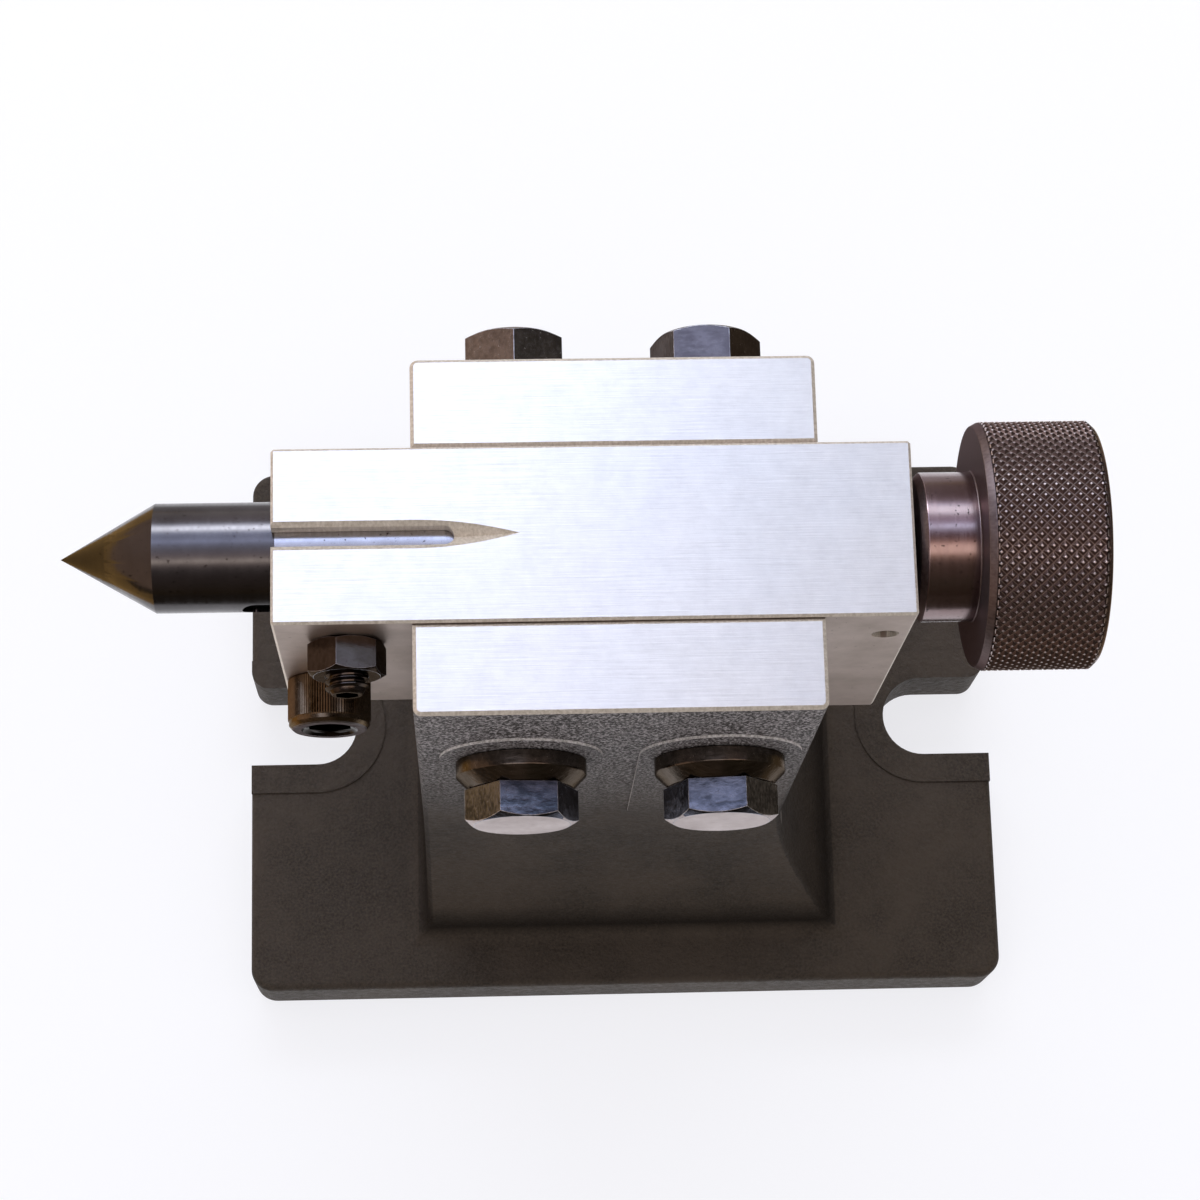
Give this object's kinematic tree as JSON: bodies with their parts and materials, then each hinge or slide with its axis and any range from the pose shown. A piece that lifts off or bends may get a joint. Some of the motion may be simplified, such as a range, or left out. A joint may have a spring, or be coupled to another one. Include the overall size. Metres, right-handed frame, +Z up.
{
  "type": "tailstock",
  "caption": "Height and tilt adjustable tailstock: slotted cast yoke on a flanged base, clamped steel block, screw-fed pointed quill with knurled knob.",
  "frame": {"origin": "middle of the base's underside, on the plane of the two hold-down slots", "axes": "+X along the quill from its point to the knob, +Z up from the machine table, +Y to the side of the clamp nuts"},
  "size_m": [0.1941, 0.121, 0.1838],
  "materials": {
    "casting": "sand cast, ground on the cheek tops and underside",
    "ground_steel": "surface ground",
    "blackened_steel": "turned and black oxide coated",
    "bronze": "turned bronze",
    "black_fastener": "black oxide"
  },
  "bodies": {
    "base": {"base_casting": "casting"},
    "carriage": {"pivot_bolt": "black_fastener", "pivot_washer_front": "black_fastener", "pivot_washer_rear": "black_fastener"},
    "block": {"quill_housing": "ground_steel", "nose_bolt": "black_fastener", "nose_washer_front": "black_fastener", "nose_washer_rear": "black_fastener", "retaining_screw": "black_fastener", "thrust_washer": "bronze"},
    "quill": {"quill": "blackened_steel", "feed_nut": "bronze"},
    "knob": {"knob": "blackened_steel", "feed_screw": "blackened_steel", "knob_screw": "black_fastener"},
    "pivot_nut": {"pivot_nut": "black_fastener"},
    "nose_nut": {"nose_nut": "black_fastener"},
    "clamp_screw": {"nose_clamp_screw": "black_fastener"},
    "key_screw": {"quill_key_screw": "black_fastener"},
    "lock_nut": {"lock_nut": "black_fastener"}
  },
  "joints": [
    {"name": "height_slide", "type": "slide", "parent": "base", "child": "carriage", "axis": [0, 0, 1], "range_m": [-0.045, 0]},
    {"name": "tilt_hinge", "type": "hinge", "parent": "carriage", "child": "block", "pos_m": [0.01325, 0, 0.135], "axis": [0, 1, 0], "range_deg": [-8, 4.5]},
    {"name": "knob_turn", "type": "hinge", "parent": "block", "child": "knob", "pos_m": [0.0723, 0, 0.1605], "axis": [-1, 0, 0], "range_deg": [-2880, 3600]},
    {"name": "quill_feed", "type": "slide", "parent": "block", "child": "quill", "axis": [-1, 0, 0], "range_m": [-0.0161, 0.0201]},
    {"name": "pivot_nut_turn", "type": "hinge", "parent": "carriage", "child": "pivot_nut", "pos_m": [0.01325, 0.0444, 0.135], "axis": [0, 1, 0], "range_deg": [0, 360]},
    {"name": "nose_nut_turn", "type": "hinge", "parent": "block", "child": "nose_nut", "pos_m": [-0.02475, 0.0444, 0.135], "axis": [0, 1, 0], "range_deg": [0, 360]},
    {"name": "clamp_screw_turn", "type": "hinge", "parent": "block", "child": "clamp_screw", "pos_m": [-0.0614, -0.0213, 0.1315], "axis": [0, -1, 0], "range_deg": [0, 360]},
    {"name": "key_screw_turn", "type": "hinge", "parent": "block", "child": "key_screw", "pos_m": [-0.0568, -0.02, 0.1605], "axis": [0, -1, 0], "range_deg": [0, 360]},
    {"name": "lock_nut_turn", "type": "hinge", "parent": "block", "child": "lock_nut", "pos_m": [-0.0568, -0.0196, 0.1605], "axis": [0, -1, 0], "range_deg": [0, 360]}
  ],
  "couplings": [
    {"joint": "quill_feed", "follows": "knob_turn", "m_per_rad": 0.00031831}
  ]
}
